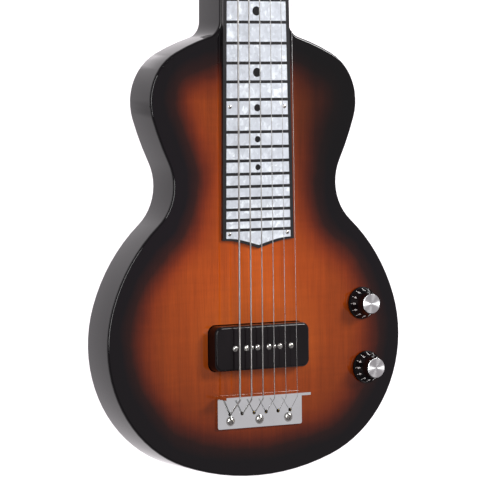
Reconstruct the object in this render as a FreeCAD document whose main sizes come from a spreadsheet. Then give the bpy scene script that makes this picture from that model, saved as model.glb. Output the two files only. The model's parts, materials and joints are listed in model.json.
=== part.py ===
import FreeCAD, Part
import math
import os
import Sketcher
from FreeCAD import Placement, Rotation, Vector

# Six-string lap steel guitar, built as separate pieces. It lies on its back: +Z leaves the face,
# +Y runs along the strings to the head, +X is the treble side. The origin is under the middle of
# the whole length, on the plane of the back. Sizes are in millimetres.

DIMENSIONS = {
    # Whole instrument
    "scale_length": 571.5,
    "tail_length": 62.75,
    "head_length": 165.0,
    "body_thick": 33.0,
    "edge_round": 1.8,
    # Body outline: radius of each arc, and how far it turns, from the tail round to the neck
    "tail_radius": 193.3,
    "tail_turn": 20.06,
    "corner_radius": 98.73,
    "corner_turn": 87.79,
    "flank_radius": 135.24,
    "flank_turn": 31.13,
    "waist_radius": 39.34,
    "waist_turn": 75.45,
    "hip_radius": 226.8,
    "hip_turn": 9.0,
    "shoulder_radius": 42.0,
    "shoulder_turn": 80.0,
    "slope_radius": 170.0,
    "heel_radius": 13.0,
    "neck_half_heel": 31.0,
    "neck_half_nut": 27.3,
    # Headstock
    "head_thick": 13.0,
    "head_step": 3.0,
    "head_flare_radius": 22.0,
    "head_cheek_radius": 10.0,
    "head_corner_radius": 12.0,
    "scoop_radius": 26.0,
    # Fingerboard and its blocks
    "board_thick": 2.5,
    "board_half_nut": 25.5,
    "board_half_end": 31.9,
    "board_end": 119.5,
    "board_drop": 6.6,
    "border": 3.1,
    "pearl_depth": 0.8,
    "line_width": 2.3,
    # Strings
    "string_height": 15.0,
    "pitch_saddle": 10.3,
    "pitch_nut": 8.8,
    # Bridge
    "bridge_width": 75.6,
    "bridge_depth": 25.4,
    "bridge_gauge": 2.0,
    "hole_pitch": 10.8,
    "hole_back": 13.3,
    "string_hole_radius": 1.5,
    # Pickup
    "cover_length": 85.7,
    "cover_width": 35.6,
    "cover_round": 6.5,
    "cover_rise": 10.5,
    "cover_sunk": 7.0,
    "cover_wall": 1.6,
    "pickup_ahead": 37.5,
    "pickup_shift": -1.8,
    "pole_pitch": 10.0,
    # Knobs and pots
    "knob_radius": 12.7,
    "knob_top_radius": 8.2,
    "knob_height": 13.6,
    "knob_gap": 1.0,
    "cap_radius": 7.7,
    "shaft_radius": 3.0,
    "pot_radius": 12.0,
    "pot_height": 9.5,
    "bushing_radius": 4.75,
    # Control cavity and output jack
    "top_wood": 6.0,
    "lid_thick": 2.0,
    "jack_bore": 3.2,
    "jack_z": 15.0,
    "spot_radius": 11.0,
    # Tuners
    "post_radius": 3.0,
    "post_rise": 16.0,
    "post_inset": 24.0,
    "first_post": 35.0,
    "post_step": 40.0,
    "cog_teeth": 14.0,
    "cog_pitch_radius": 6.4,
    "cog_thick": 4.6,
    "worm_root": 2.0,
    "worm_crest": 3.3,
    "worm_length": 9.0,
    "worm_offset": 9.6,
    "key_radius": 1.6,
    "plate_thick": 1.0,
    "button_length": 16.0,
    "button_width": 14.0,
    "button_thick": 7.5,
}

STRING_RADII = (0.70, 0.56, 0.42, 0.30, 0.23, 0.19)
DOT_FRETS = {3: 7.1, 5: 7.1, 7: 7.1, 9: 7.1, 12: 7.1, 15: 7.1, 17: 5.6, 19: 5.0, 21: 4.6}
LAST_FRET = 26
STRINGS = range(6)
SIDES = (-1, 1)
RUNNING_GAP = 0.05
CLEAR_GAP = 0.3

doc = FreeCAD.newDocument("lap_steel")
sheet = doc.addObject("Spreadsheet::Sheet", "sizes")
for row, (alias, value) in enumerate(DIMENSIONS.items(), start=1):
    sheet.set(f"A{row}", alias)
    sheet.set(f"B{row}", str(value))
    sheet.setAlias(f"B{row}", alias)
doc.recompute()


def size(alias):
    """Value of one cell of the sheet."""
    return float(getattr(sheet, alias))


SADDLE_Y = -(size("scale_length") + size("head_length") - size("tail_length")) / 2
NUT_Y = SADDLE_Y + size("scale_length")
HEAD_END = NUT_Y + size("head_length")
FACE = size("body_thick")
HEAD_TOP = FACE - size("head_step")
HEAD_BACK = HEAD_TOP - size("head_thick")
STRING_Z = FACE + size("string_height")
NUT_THICK = 5.0

parts = {}


def cell(alias):
    return f"sizes.{alias}"


def keep(obj, node):
    """Names an object as one sub-part of the guitar."""
    obj.Label = node
    parts[node] = obj
    return obj


def bind(obj, **expressions):
    for name, expression in expressions.items():
        obj.setExpression(name, expression)


# ---------------------------------------------------------------- helpers for PartDesign bodies

def new_body(node):
    body = doc.addObject("PartDesign::Body", node)
    body.AllowCompound = True
    return keep(body, node)


def origin_plane(body, role):
    for feature in body.Origin.OriginFeatures:
        if feature.Role == role:
            return feature
    raise ValueError(role)


def sketch_on(body, name, geometry, role="XY_Plane", level=0.0, level_expression=None):
    """A sketch on an origin plane of the body, lifted along the plane's normal."""
    sketch = body.newObject("Sketcher::SketchObject", name)
    sketch.AttachmentSupport = (origin_plane(body, role), [""])
    sketch.MapMode = "FlatFace"
    sketch.AttachmentOffset = Placement(Vector(0, 0, level), Rotation())
    if level_expression:
        sketch.setExpression("AttachmentOffset.Base.z", level_expression)
    for piece in geometry:
        sketch.addGeometry(piece, False)
    return sketch


def pad(body, sketch, expression, midplane=False):
    feature = body.newObject("PartDesign::Pad", sketch.Name + "_pad")
    feature.Profile = sketch
    feature.Midplane = midplane
    feature.setExpression("Length", expression)
    doc.recompute()
    return feature


def pocket(body, sketch, expression=None, midplane=False, reverse=False):
    """Cuts the sketch out of the body, right through when no depth is given."""
    before = body.Shape.Volume
    feature = body.newObject("PartDesign::Pocket", sketch.Name + "_cut")
    feature.Profile = sketch
    feature.Midplane = midplane
    feature.Reversed = reverse
    if expression:
        feature.setExpression("Length", expression)
    else:
        feature.Type = "ThroughAll"
    doc.recompute()
    if not body.Shape.Volume < before - 1e-3:
        raise RuntimeError(f"{feature.Name} cuts nothing")
    return feature


def line(start, end):
    return Part.LineSegment(Vector(*start, 0), Vector(*end, 0))


def polygon(points):
    return [line(a, b) for a, b in zip(points, points[1:] + points[:1])]


def circle(x, y, radius):
    return Part.Circle(Vector(x, y, 0), Vector(0, 0, 1), radius)


def arc_through(start, middle, end):
    return Part.Arc(Vector(*start, 0), Vector(*middle, 0), Vector(*end, 0))


def rounded_box(x, y, width, height, radius):
    """Rectangle about (x, y) with round corners."""
    a, b = width / 2 - radius, height / 2 - radius
    edges = []
    corners = ((a, b, 0), (-a, b, 90), (-a, -b, 180), (a, -b, 270))
    for (u, v, turn), (nu, nv, _) in zip(corners, corners[1:] + corners[:1]):
        first, last = math.radians(turn), math.radians(turn + 90)
        ring = Part.Circle(Vector(x + u, y + v, 0), Vector(0, 0, 1), radius)
        edges.append(Part.ArcOfCircle(ring, first, last))
        start = (x + u + radius * math.cos(last), y + v + radius * math.sin(last))
        end = (x + nu + radius * math.cos(last), y + nv + radius * math.sin(last))
        edges.append(line(start, end))
    return edges


def drill(body, name, points, radius_expression, level, depth_expression=None, upward=False):
    """Round holes in a row of places, cut down (or up) from one level. One cell sizes them all."""
    sketch = sketch_on(body, name, [circle(x, y, 1.0) for x, y in points], level=level)
    for index, (x, y) in enumerate(points):
        sketch.addConstraint(Sketcher.Constraint("DistanceX", -1, 1, index, 3, x))
        sketch.addConstraint(Sketcher.Constraint("DistanceY", -1, 1, index, 3, y))
        number = sketch.addConstraint(Sketcher.Constraint("Radius", index, 1.0))
        sketch.setExpression(f"Constraints[{number}]", radius_expression)
    return pocket(body, sketch, depth_expression, reverse=upward)


# ---------------------------------------------------------------- helpers for Part objects

def cylinder(name, radius, length, place, axis=Vector(0, 0, 1)):
    """A cylinder bound to two expressions, from a place along an axis."""
    obj = doc.addObject("Part::Cylinder", name)
    bind(obj, Radius=radius, Height=length)
    obj.Placement = Placement(Vector(*place), Rotation(Vector(0, 0, 1), axis))
    return obj


def fused(name, pieces):
    obj = doc.addObject("Part::MultiFuse", name)
    obj.Shapes = pieces
    return obj


def cut(name, base, tool):
    obj = doc.addObject("Part::Cut", name)
    obj.Base = base
    obj.Tool = tool
    return obj


def shaped(node, shape):
    """A sub-part whose shape comes from Part's own functions."""
    obj = doc.addObject("Part::Feature", node)
    obj.Shape = shape
    return keep(obj, node)


def turned(profile):
    """Solid of revolution about Z from (radius, height) points."""
    points = [Vector(r, 0, z) for r, z in profile]
    face = Part.Face(Part.makePolygon(points + points[:1]))
    return face.revolve(Vector(0, 0, 0), Vector(0, 0, 1), 360)


def placed(shape, place, axis=Vector(0, 0, 1)):
    copy = shape.copy()
    copy.Placement = Placement(Vector(*place), Rotation(Vector(0, 0, 1), axis))
    return copy


def screw_shape(head_radius, head_height, shank_radius, length):
    """Round-headed screw: its head stands on z = 0 and its shank goes down."""
    dome = [(head_radius * math.sin(a), head_height * math.cos(a))
            for a in (math.radians(step) for step in range(0, 90, 15))]
    return turned(dome + [(head_radius, 0), (shank_radius, 0), (shank_radius, -length), (0, -length)])


# ---------------------------------------------------------------- places shared by several pieces

def fret_y(number):
    return SADDLE_Y + size("scale_length") * 2 ** (-number / 12)


def string_x(index, pitch):
    return (index - (len(STRINGS) - 1) / 2) * size(pitch)


def board_half(y):
    """Half the fingerboard's width at a place along the strings."""
    end, share = SADDLE_Y + size("board_end"), NUT_Y - SADDLE_Y - size("board_end")
    return size("board_half_end") + (size("board_half_nut") - size("board_half_end")) * (y - end) / share


POLE_X = [size("pickup_shift") + (n - 2.5) * size("pole_pitch") for n in STRINGS]
PICKUP_Y = SADDLE_Y + size("pickup_ahead")
PICKUP_SCREWS = [(size("pickup_shift") + side * size("pole_pitch"), PICKUP_Y) for side in SIDES]
BRIDGE_FRONT = SADDLE_Y + 0.8
BRIDGE_SCREWS = [(x - 0.6, SADDLE_Y - 18.7) for x in (-26.0, 0.0, 26.0)]
STRING_HOLES = [(string_x(n, "hole_pitch"), SADDLE_Y - size("hole_back")) for n in STRINGS]
KNOBS = {"volume": (95.1, SADDLE_Y + 66.5), "tone": (98.9, SADDLE_Y + 15.9)}
# Control cavity: its middle along X and Y, its width and its length.
CAVITY = (91.0, SADDLE_Y + 41.5, 44.0, 85.0)
CAVITY_ROUND = 6.0
LID_MARGIN = 4.0
LID_CLEAR = 0.15
JACK_Y = SADDLE_Y + 42.0
JACK_FLOOR = 117.0
JACK_BACK = 91.0
JACK_BORE_END = 93.0
JACK_THREAD = 4.75
CAVITY_WALL = CAVITY[0] + CAVITY[2] / 2
LID_CORNER = (CAVITY_ROUND + LID_MARGIN / 2) * math.sqrt(0.5) - CAVITY_ROUND
LID_SCREWS = [(CAVITY[0] + u * (CAVITY[2] / 2 + LID_CORNER), CAVITY[1] + v * (CAVITY[3] / 2 + LID_CORNER))
              for u in SIDES for v in SIDES]
LID_SCREW_HEAD = 1.8
LID_SCREW_SHANK = 1.0
BOARD_SCREWS = [(side * x, SADDLE_Y + y) for x, y in ((24.4, 221.3), (25.9, 124.4), (22.6, 560.0))
                for side in SIDES]
POSTS = [(side * size("post_inset"), NUT_Y + size("first_post") + n * size("post_step"))
         for side in SIDES for n in range(3)]
WORM_Z = HEAD_BACK - size("plate_thick") - CLEAR_GAP - size("worm_crest")
# Distance of the buttons' inner ends from the centre line.
KEY_EDGE = 41.5
STRIP_WIDTH = 15.0
STRIP_LENGTH = 116.0
STRIP_MIDDLE = NUT_Y + size("first_post") + 44.0
TUNER_SCREWS = [(side * size("post_inset"), NUT_Y + size("first_post") + offset)
                for side in SIDES for offset in (-11.0, 21.0, 61.0, 98.5)]


# ---------------------------------------------------------------- body

def outline_arcs():
    """Right half of the body and neck: tangent arcs, each (radius cell, turn, direction)."""
    return (("tail_radius", size("tail_turn"), 1), ("corner_radius", size("corner_turn"), 1),
            ("flank_radius", size("flank_turn"), 1), ("waist_radius", size("waist_turn"), -1),
            ("hip_radius", size("hip_turn"), 1), ("shoulder_radius", size("shoulder_turn"), 1))


def arc_from(point, heading, radius, turn, direction):
    """Arc that leaves a point along a heading. Returns it with its end and its new heading."""
    centre = point + Vector(-math.sin(heading), math.cos(heading), 0) * radius * direction
    ring = Part.Circle(centre, Vector(0, 0, 1), radius)
    first = heading - math.pi / 2 * direction
    last = first + math.radians(turn) * direction
    arc = Part.ArcOfCircle(ring, min(first, last), max(first, last))
    end = centre + Vector(math.cos(last), math.sin(last), 0) * radius
    return arc, end, heading + math.radians(turn) * direction


def half_outline():
    """Edges from the tail to the tip of the head, on the treble side of the centre line."""
    point, heading = Vector(0, SADDLE_Y - size("tail_length"), 0), 0.0
    edges = []
    for radius, turn, direction in outline_arcs():
        arc, point, heading = arc_from(point, heading, size(radius), turn, direction)
        edges.append(arc)
    heel = Vector(size("neck_half_heel"), SADDLE_Y + size("scale_length") / 2, 0)
    nut = Vector(size("neck_half_nut"), NUT_Y, 0)
    along = (nut - heel).normalize()
    outward = Vector(along.y, -along.x, 0)
    # The heel's arc touches the circle of the slope below the neck and the side of the neck.
    slope = point + Vector(-math.sin(heading), math.cos(heading), 0) * size("slope_radius")
    reach = size("slope_radius") + size("heel_radius")
    base = heel + outward * size("heel_radius")
    offset = slope - base
    run = offset.dot(along) + math.sqrt(reach ** 2 - (offset - along * offset.dot(along)).Length ** 2)
    centre = base + along * run
    to_slope = (slope - centre).normalize()
    turn = (math.atan2(-to_slope.y, -to_slope.x) - (heading - math.pi / 2)) % (2 * math.pi)
    arc, point, heading = arc_from(point, heading, size("slope_radius"), math.degrees(turn), 1)
    edges.append(arc)
    neck_heading = math.atan2(along.y, along.x)
    turn = math.degrees(heading - neck_heading)
    arc, point, heading = arc_from(point, heading, size("heel_radius"), turn, -1)
    edges.append(arc)
    edges.extend(head_outline(point, heading))
    return edges


def head_outline(point, heading):
    """Neck side, flare, cheek and tip of the headstock."""
    head_start = NUT_Y + NUT_THICK + 2.0
    end = point + Vector(math.cos(heading), math.sin(heading), 0) * (head_start - point.y)
    edges = [Part.LineSegment(point, end)]
    flare, point, heading = arc_from(end, heading, size("head_flare_radius"), 50.0, -1)
    cheek, point, heading = arc_from(point, heading, size("head_cheek_radius"), 52.0, 1)
    edges.extend((flare, cheek))
    corner_turn = 75.0
    radius = size("head_corner_radius")
    side = Vector(math.cos(heading), math.sin(heading), 0)
    # The side runs on until the corner and the slightly crowned tip reach the head's end.
    _, probe, tip_heading = arc_from(point, heading, radius, corner_turn, 1)
    rise = (1 - math.cos(math.pi - tip_heading)) / math.sin(math.pi - tip_heading)
    length = (HEAD_END - probe.y - probe.x * rise) / (side.y + side.x * rise)
    end = point + side * length
    edges.append(Part.LineSegment(point, end))
    corner, point, heading = arc_from(end, heading, radius, corner_turn, 1)
    tip_radius = point.x / math.sin(math.pi - heading)
    tip, point, heading = arc_from(point, heading, tip_radius, math.degrees(math.pi - heading), 1)
    edges.extend((corner, tip))
    return edges


def make_body():
    body = new_body("body")
    edges = half_outline()
    middle = Part.LineSegment(Vector(0, HEAD_END, 0), Vector(0, SADDLE_Y - size("tail_length"), 0))
    outline = sketch_on(body, "outline", edges + [middle])
    for index, (radius, _, _) in enumerate(outline_arcs()):
        number = outline.addConstraint(Sketcher.Constraint("Radius", index, size(radius)))
        outline.setExpression(f"Constraints[{number}]", cell(radius))
    slab = pad(body, outline, cell("body_thick"))
    mirror = body.newObject("PartDesign::Mirrored", "bass_half")
    mirror.Originals = [slab]
    mirror.MirrorPlane = (origin_plane(body, "YZ_Plane"), [""])
    body.Tip = mirror
    doc.recompute()
    shape_head(body)
    round_edges(body)
    cut_pickup_route(body)
    cut_bridge_trough(body)
    cut_control_cavity(body)
    drill_screw_holes(body)
    drill(body, "post_holes", POSTS, f"{cell('post_radius')} + 1.4", HEAD_TOP)
    return body


def shape_head(body):
    """Thins the head: a step down behind the nut, and a scoop from the back."""
    past = HEAD_END + 10
    step_y = NUT_Y + NUT_THICK
    step = polygon([(step_y, HEAD_TOP), (past, HEAD_TOP), (past, FACE + 10), (step_y, FACE + 10)])
    pocket(body, sketch_on(body, "head_step", step, "YZ_Plane"), midplane=True)
    radius = size("scoop_radius")
    drop = math.sqrt(radius ** 2 - (radius - HEAD_BACK) ** 2)
    start = NUT_Y - drop
    middle = math.acos((radius - HEAD_BACK) / radius) / 2
    bend = (NUT_Y - radius * math.sin(middle), HEAD_BACK - radius + radius * math.cos(middle))
    scoop = [arc_through((start, 0), bend, (NUT_Y, HEAD_BACK)),
             line((NUT_Y, HEAD_BACK), (past, HEAD_BACK)),
             line((past, HEAD_BACK), (past, -10)),
             line((past, -10), (start, -10)),
             line((start, -10), (start, 0))]
    pocket(body, sketch_on(body, "head_scoop", scoop, "YZ_Plane"), midplane=True)


def round_edges(body):
    """Rounds the rim of the face and of the back, and softens the head."""
    def rim(level, limit):
        names = []
        for number, edge in enumerate(body.Shape.Edges, start=1):
            box = edge.BoundBox
            flat = abs(box.ZMin - level) < 1e-6 and abs(box.ZMax - level) < 1e-6
            across = box.YLength < 1e-6
            if flat and not across and limit(box):
                names.append(f"Edge{number}")
        return names

    for name, level, radius, limit in (
            ("face_round", FACE, cell("edge_round"), lambda box: True),
            ("back_round", 0.0, cell("edge_round"), lambda box: True),
            ("head_round", HEAD_TOP, f"{cell('edge_round')} / 2", lambda box: box.YMax > NUT_Y + 8)):
        before = body.Tip
        fillet = body.newObject("PartDesign::Fillet", name)
        fillet.Base = (before, rim(level, limit))
        fillet.setExpression("Radius", radius)
        doc.recompute()


def cut_pickup_route(body):
    """Pocket for the pickup, with a drilled way for its lead to the control cavity."""
    gap = 0.4
    route = rounded_box(size("pickup_shift"), PICKUP_Y, size("cover_length") + gap,
                        size("cover_width") + gap, size("cover_round"))
    pocket(body, sketch_on(body, "pickup_route", route, level=FACE), f"{ROUTE_DEPTH} mm")
    lead = sketch_on(body, "lead_way", [circle(PICKUP_Y, 20.0, 3.0)], "YZ_Plane", level=35.0)
    pocket(body, lead, "35 mm", reverse=True)


def cut_bridge_trough(body):
    """Slot under the bridge plate for the ball ends of the strings."""
    trough = rounded_box(0, SADDLE_Y - size("hole_back"), 66.0, 7.0, 3.4)
    pocket(body, sketch_on(body, "ball_trough", trough, level=FACE), "7 mm")


def cut_control_cavity(body):
    x, y, width, length = CAVITY
    lid = rounded_box(x, y, width + 2 * LID_MARGIN, length + 2 * LID_MARGIN, CAVITY_ROUND + LID_MARGIN)
    pocket(body, sketch_on(body, "lid_recess", lid), cell("lid_thick"), reverse=True)
    room = rounded_box(x, y, width, length, CAVITY_ROUND)
    depth = f"{cell('body_thick')} - {cell('top_wood')}"
    pocket(body, sketch_on(body, "control_room", room), depth, reverse=True)
    drill(body, "pot_holes", list(KNOBS.values()), f"{cell('bushing_radius')} + 0.1", FACE)
    wall = sketch_on(body, "jack_hole", [circle(JACK_Y, size("jack_z"), JACK_THREAD + 0.1)], "YZ_Plane", level=100.0)
    pocket(body, wall, reverse=True)
    spot = sketch_on(body, "jack_spot", [circle(JACK_Y, size("jack_z"), size("spot_radius"))],
                     "YZ_Plane", level=JACK_FLOOR)
    pocket(body, spot, reverse=True)


def drill_screw_holes(body):
    drill(body, "bridge_pilots", BRIDGE_SCREWS, "1.6 mm", FACE, "14 mm")
    drill(body, "board_pilots", BOARD_SCREWS, "0.9 mm", FACE, "8 mm")
    drill(body, "pickup_pilots", PICKUP_SCREWS, "1.0 mm", FACE - ROUTE_DEPTH, "6 mm")
    lid = size("lid_thick")
    drill(body, "lid_pilots", LID_SCREWS, f"{LID_SCREW_SHANK} mm", lid, "9 mm", upward=True)
    drill(body, "tuner_pilots", TUNER_SCREWS, "0.9 mm", HEAD_BACK, "7 mm", upward=True)


# ---------------------------------------------------------------- fingerboard

def bracket_end(half, start, drop):
    """Curved end of the board: from each side it sweeps down to a point on the centre line."""
    bend = half * 0.56
    dip = drop * 0.23
    left = [arc_through((-half, start), (-half * 0.78, start - dip * 0.2), (-bend, start - dip)),
            arc_through((-bend, start - dip), (-bend * 0.46, start - drop * 0.62), (0, start - drop))]
    right = [arc_through((0, start - drop), (bend * 0.46, start - drop * 0.62), (bend, start - dip)),
             arc_through((bend, start - dip), (half * 0.78, start - dip * 0.2), (half, start))]
    return left + right


def make_fingerboard():
    board = new_body("fingerboard")
    start = SADDLE_Y + size("board_end")
    half, narrow = size("board_half_end"), size("board_half_nut")
    edges = bracket_end(half, start, size("board_drop"))
    edges += [line((half, start), (narrow, NUT_Y)), line((narrow, NUT_Y), (-narrow, NUT_Y)),
              line((-narrow, NUT_Y), (-half, start))]
    outline = sketch_on(board, "board_outline", edges, level_expression=cell("body_thick"))
    pad(board, outline, cell("board_thick"))
    top = FACE + size("board_thick")
    blocks = [edge for block in block_outlines() for edge in block]
    beds = sketch_on(board, "block_beds", blocks, level=top)
    pocket(board, beds, cell("pearl_depth"))
    drill(board, "board_screw_holes", BOARD_SCREWS, "0.9 mm", top)
    return board


def block_outlines():
    """One outline for each fret space, and the bracket-shaped one after the last fret."""
    gap = size("line_width") / 2
    outlines = []
    for fret in range(1, LAST_FRET + 1):
        low = fret_y(fret) + gap
        high = fret_y(fret - 1) - (gap if fret > 1 else size("border"))
        wide, narrow = board_half(low) - size("border"), board_half(high) - size("border")
        outlines.append(polygon([(-wide, low), (wide, low), (narrow, high), (-narrow, high)]))
    start = SADDLE_Y + size("board_end") + 1.5
    high = fret_y(LAST_FRET) - gap
    wide, narrow = board_half(start) - size("border"), board_half(high) - size("border")
    end = bracket_end(wide, start, size("board_drop") - 1.0)
    end += [line((wide, start), (narrow, high)), line((narrow, high), (-narrow, high)),
            line((-narrow, high), (-wide, start))]
    outlines.append(end)
    return outlines


def dot_places():
    return [(0.0, (fret_y(fret) + fret_y(fret - 1)) / 2, width / 2) for fret, width in DOT_FRETS.items()]


def make_inlays():
    """Pearloid blocks let into the board, and the dark dots let into the blocks."""
    bed = FACE + size("board_thick") - size("pearl_depth")
    blocks = new_body("pearl_blocks")
    edges = [edge for block in block_outlines() for edge in block]
    pad(blocks, sketch_on(blocks, "block_shapes", edges, level=bed), cell("pearl_depth"))
    circles = [circle(x, y, radius) for x, y, radius in dot_places()]
    pocket(blocks, sketch_on(blocks, "dot_beds", circles, level=FACE + size("board_thick")))
    drill(blocks, "block_screw_holes", BOARD_SCREWS, "0.9 mm", FACE + size("board_thick"))
    dots = new_body("position_dots")
    circles = [circle(x, y, radius) for x, y, radius in dot_places()]
    pad(dots, sketch_on(dots, "dot_shapes", circles, level=bed), cell("pearl_depth"))


def make_board_screws():
    top = FACE + size("board_thick")
    screw = screw_shape(1.6, 0.5, 0.9, 9.5)
    shaped("board_screws", Part.makeCompound([placed(screw, (x, y, top)) for x, y in BOARD_SCREWS]))


# ---------------------------------------------------------------- nut, strings and bridge

def notch(index, pitch, height):
    """A string's seat, open to the top: a round bottom and straight sides."""
    x, radius = string_x(index, pitch), STRING_RADII[index]
    top = height + 3.0
    return [arc_through((x - radius, height), (x, height - radius), (x + radius, height)),
            line((x + radius, height), (x + radius, top)),
            line((x + radius, top), (x - radius, top)),
            line((x - radius, top), (x - radius, height))]


def make_nut():
    nut = new_body("nut")
    half = size("neck_half_nut") - 1.6
    low = FACE
    high = STRING_Z + 0.2
    profile = polygon([(NUT_Y, low), (NUT_Y + NUT_THICK, low), (NUT_Y + NUT_THICK, high - 1.5),
                       (NUT_Y + NUT_THICK - 1.6, high), (NUT_Y, high)])
    pad(nut, sketch_on(nut, "nut_profile", profile, "YZ_Plane"), f"{2 * half} mm", midplane=True)
    seats = [edge for n in STRINGS for edge in notch(n, "pitch_nut", STRING_Z)]
    # The XZ plane faces -Y, so its sketches are lifted by minus their place along the strings.
    pocket(nut, sketch_on(nut, "nut_seats", seats, "XZ_Plane", level=-NUT_Y - 10.0), reverse=True)
    return nut


def make_bridge():
    """Bent plate: a foot screwed to the face and an upright flange that carries the strings."""
    bridge = new_body("bridge_plate")
    gauge, front = size("bridge_gauge"), BRIDGE_FRONT
    back = front - size("bridge_depth")
    top = STRING_Z + 0.2
    bend = 1.0
    profile = [line((back, FACE), (front - bend - gauge, FACE)),
               arc_through((front - bend - gauge, FACE),
                           (front - (bend + gauge) * (1 - math.sqrt(0.5)),
                            FACE + (bend + gauge) * (1 - math.sqrt(0.5))),
                           (front, FACE + bend + gauge)),
               line((front, FACE + bend + gauge), (front, top)),
               line((front, top), (front - gauge, top)),
               line((front - gauge, top), (front - gauge, FACE + gauge + bend)),
               arc_through((front - gauge, FACE + gauge + bend),
                           (front - gauge - bend * (1 - math.sqrt(0.5)),
                            FACE + gauge + bend * (1 - math.sqrt(0.5))),
                           (front - gauge - bend, FACE + gauge)),
               line((front - gauge - bend, FACE + gauge), (back, FACE + gauge)),
               line((back, FACE + gauge), (back, FACE))]
    pad(bridge, sketch_on(bridge, "bridge_profile", profile, "YZ_Plane"), cell("bridge_width"), midplane=True)
    corners = []
    for number, edge in enumerate(bridge.Shape.Edges, start=1):
        box = edge.BoundBox
        if box.ZLength > gauge - 0.01 and box.XLength < 1e-6 and box.YMax < back + 0.01:
            corners.append(f"Edge{number}")
    fillet = bridge.newObject("PartDesign::Fillet", "foot_corners")
    fillet.Base = (bridge.getObject("bridge_profile_pad"), corners)
    fillet.Radius = 1.6
    doc.recompute()
    drill(bridge, "string_holes", STRING_HOLES, cell("string_hole_radius"), FACE + gauge)
    drill(bridge, "bridge_screw_holes", BRIDGE_SCREWS, "1.6 mm", FACE + gauge)
    seats = [edge for n in STRINGS for edge in notch(n, "pitch_saddle", STRING_Z)]
    pocket(bridge, sketch_on(bridge, "saddle_seats", seats, "XZ_Plane", level=-front - 5.0),
           reverse=True)
    return bridge


def make_bridge_screws():
    top = FACE + size("bridge_gauge")
    screw = screw_shape(3.75, 1.9, 1.6, 15.0)
    shaped("bridge_screws", Part.makeCompound([placed(screw, (x, y, top)) for x, y in BRIDGE_SCREWS]))


def bent_tube(points, bends, radius):
    """Round bar along straight runs joined by tangent arcs, one arc radius for each inner point."""
    points = [Vector(*point) for point in points]
    edges = []
    start = points[0]
    for before, corner, after, bend in zip(points, points[1:], points[2:], bends):
        back = (before - corner).normalize()
        ahead = (after - corner).normalize()
        half = back.getAngle(ahead) / 2
        reach = bend / math.tan(half)
        middle_way = (back + ahead).normalize()
        middle = corner + middle_way * (bend / math.sin(half) - bend)
        edges.append(Part.LineSegment(start, corner + back * reach).toShape())
        edges.append(Part.Arc(corner + back * reach, middle, corner + ahead * reach).toShape())
        start = corner + ahead * reach
    edges.append(Part.LineSegment(start, points[-1]).toShape())
    path = Part.Wire(edges)
    ring = Part.Wire(Part.makeCircle(radius, points[0], points[1] - points[0]))
    tube = path.makePipeShell([ring], True, False)
    ideal = math.pi * radius ** 2 * path.Length
    if abs(tube.Volume / ideal - 1) > 0.01:
        raise RuntimeError(f"tube volume {tube.Volume:.2f} against {ideal:.2f}")
    return tube


# Which post each string goes to, from the bass side: nearest posts take the outer strings.
STRING_POSTS = (0, 1, 2, 5, 4, 3)
WRAP_Z = HEAD_TOP + 11.0


def string_shape(index):
    """One string from its ball end, up over the flange, over the nut and down to its post."""
    radius = STRING_RADII[index]
    hole_x, hole_y = STRING_HOLES[index]
    post_x, post_y = POSTS[STRING_POSTS[index]]
    side = 1 if post_x < 0 else -1
    post_gap = size("post_radius") + radius + CLEAR_GAP
    points = [(hole_x, hole_y, FACE - 2.0), (hole_x, hole_y, FACE + size("bridge_gauge") + 0.8),
              (string_x(index, "pitch_saddle"), BRIDGE_FRONT - size("bridge_gauge") - 0.5, STRING_Z),
              (string_x(index, "pitch_nut"), NUT_Y + NUT_THICK + 0.5, STRING_Z),
              (post_x + side * post_gap, post_y, WRAP_Z + radius)]
    return bent_tube(points, (1.8, 1.5, 3.0), radius)


def make_strings():
    shapes = [string_shape(n) for n in STRINGS]
    shaped("wound_strings", Part.makeCompound(shapes[:3]))
    shaped("plain_strings", Part.makeCompound(shapes[3:]))
    ball = turned([(0, -5.0), (2.0, -5.0), (2.0, -2.0), (0, -2.0)])
    shaped("ball_ends", Part.makeCompound([placed(ball, (x, y, FACE)) for x, y in STRING_HOLES]))


# ---------------------------------------------------------------- pickup

PICKUP_TOP = FACE + size("cover_rise")
ROUTE_DEPTH = 16.0
# Heights of the stack inside the cover, from the back of the body.
BASEPLATE_LOW = FACE - 10.5
BASEPLATE_THICK = 1.5
MAGNET_LOW = BASEPLATE_LOW + BASEPLATE_THICK
MAGNET_THICK = 3.2
BOBBIN_LOW = MAGNET_LOW + MAGNET_THICK
FLANGE_THICK = 1.2
CORE_THICK = 11.6
COIL_THICK = CORE_THICK - 0.2


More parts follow.
